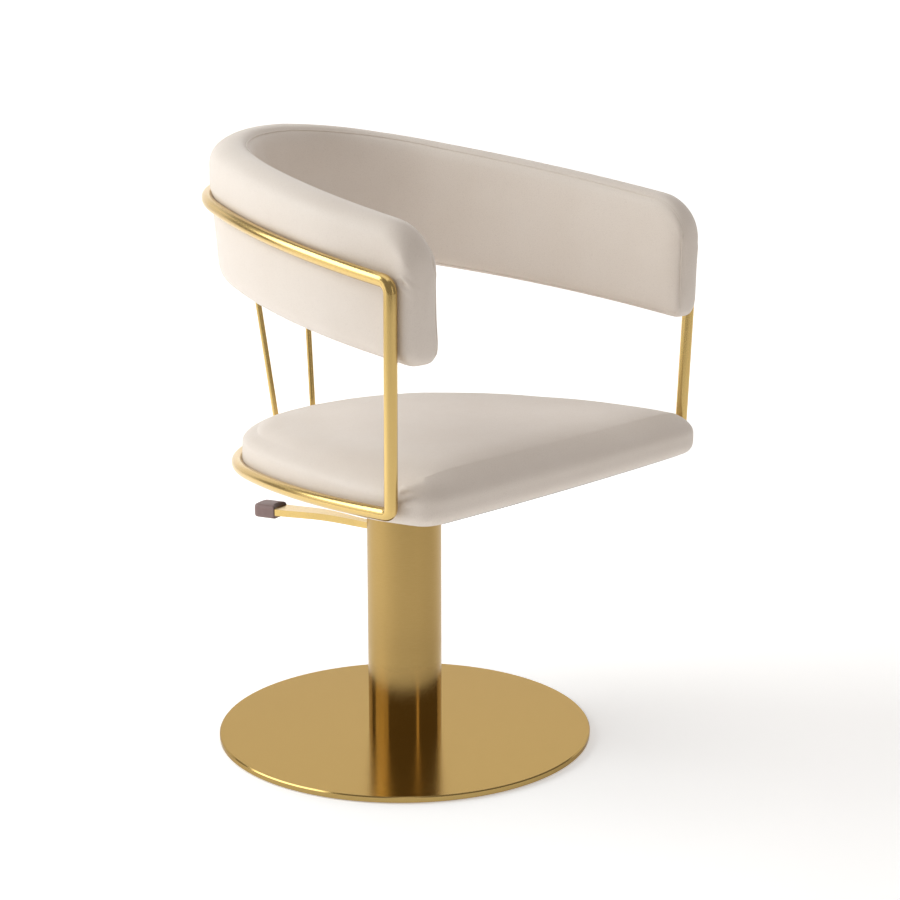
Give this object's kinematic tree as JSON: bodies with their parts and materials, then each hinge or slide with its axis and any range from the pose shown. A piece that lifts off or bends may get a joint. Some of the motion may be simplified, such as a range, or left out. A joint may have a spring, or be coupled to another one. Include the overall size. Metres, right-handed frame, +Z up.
{
  "type": "hydraulic styling chair",
  "caption": "Salon styling chair: flat disc base, hydraulic column with pump lever, D-shaped seat, and a wraparound back and arm pad on a bent tube frame.",
  "frame": {"origin": "centre of the disc base, on the floor", "axes": "+Z up along the column, -Y to the front of the seat, +X to the sitter's left"},
  "size_m": [0.5996, 0.5504, 0.8037],
  "materials": {
    "gold_metal": "brushed and clear coated",
    "steel": "machined",
    "chrome": "hard chromed and ground",
    "cast_iron": "as cast, painted dark grey",
    "bronze": "sintered",
    "black_rubber": "matt",
    "grip_rubber": "matt, moulded",
    "black_plastic": "fine spark texture",
    "plywood": "raw sanded plywood",
    "cream_leatherette": "soft semi-matt upholstery leather"
  },
  "bodies": {
    "base": {"floor_pad": "black_rubber", "base_plate": "gold_metal", "base_bolts": "steel", "pump_flange": "cast_iron", "pump_reservoir": "cast_iron", "pump_barrel": "steel", "pump_head": "cast_iron", "head_bolts": "steel", "oil_plug": "steel", "gland_bush": "bronze", "wiper_seal": "black_rubber", "gland_nut": "steel", "column_shroud": "gold_metal", "shroud_cap": "gold_metal", "slot_grommet": "black_plastic", "lever_pin": "steel", "plunger_spring": "steel"},
    "ram": {"ram": "chrome", "piston": "steel", "piston_seal": "black_rubber", "thrust_bearing": "steel", "hub_nut": "steel"},
    "lever": {"pump_lever": "gold_metal", "lever_bush": "bronze", "lever_grip": "grip_rubber"},
    "plunger": {"pump_plunger": "steel"},
    "seat": {"swivel_hub": "cast_iron", "seat_plate": "cast_iron", "plate_bolts": "steel", "tee_nuts": "steel", "underside_cover": "black_plastic", "seat_board": "plywood", "seat_cushion": "cream_leatherette", "seat_ring": "gold_metal", "ring_studs": "steel", "front_post_left": "gold_metal", "front_post_right": "gold_metal", "top_bow": "gold_metal", "rear_rod_left": "gold_metal", "rear_rod_right": "gold_metal", "back_shell": "plywood", "back_pad": "cream_leatherette", "bow_studs": "steel"}
  },
  "joints": [
    {"name": "seat_lift", "type": "slide", "parent": "base", "child": "ram", "axis": [0, 0, 1], "range_m": [0, 0.15]},
    {"name": "seat_swivel", "type": "hinge", "parent": "ram", "child": "seat", "pos_m": [0, 0, 0.36], "axis": [0, 0, 1], "continuous": true},
    {"name": "lever_stroke", "type": "hinge", "parent": "base", "child": "lever", "pos_m": [-0.00802, 0.02994, 0.281], "axis": [-0.9659, -0.2588, 0], "range_deg": [0, 20], "stiffness_Nm_per_rad": 8, "springref_deg": -20.05},
    {"name": "plunger_slide", "type": "slide", "parent": "base", "child": "plunger", "axis": [0, 0, 1], "range_m": [-0.0046, 0], "deforming": ["plunger_spring"]}
  ],
  "couplings": [
    {"joint": "plunger_slide", "follows": "lever_stroke", "m_per_rad": -0.012}
  ]
}
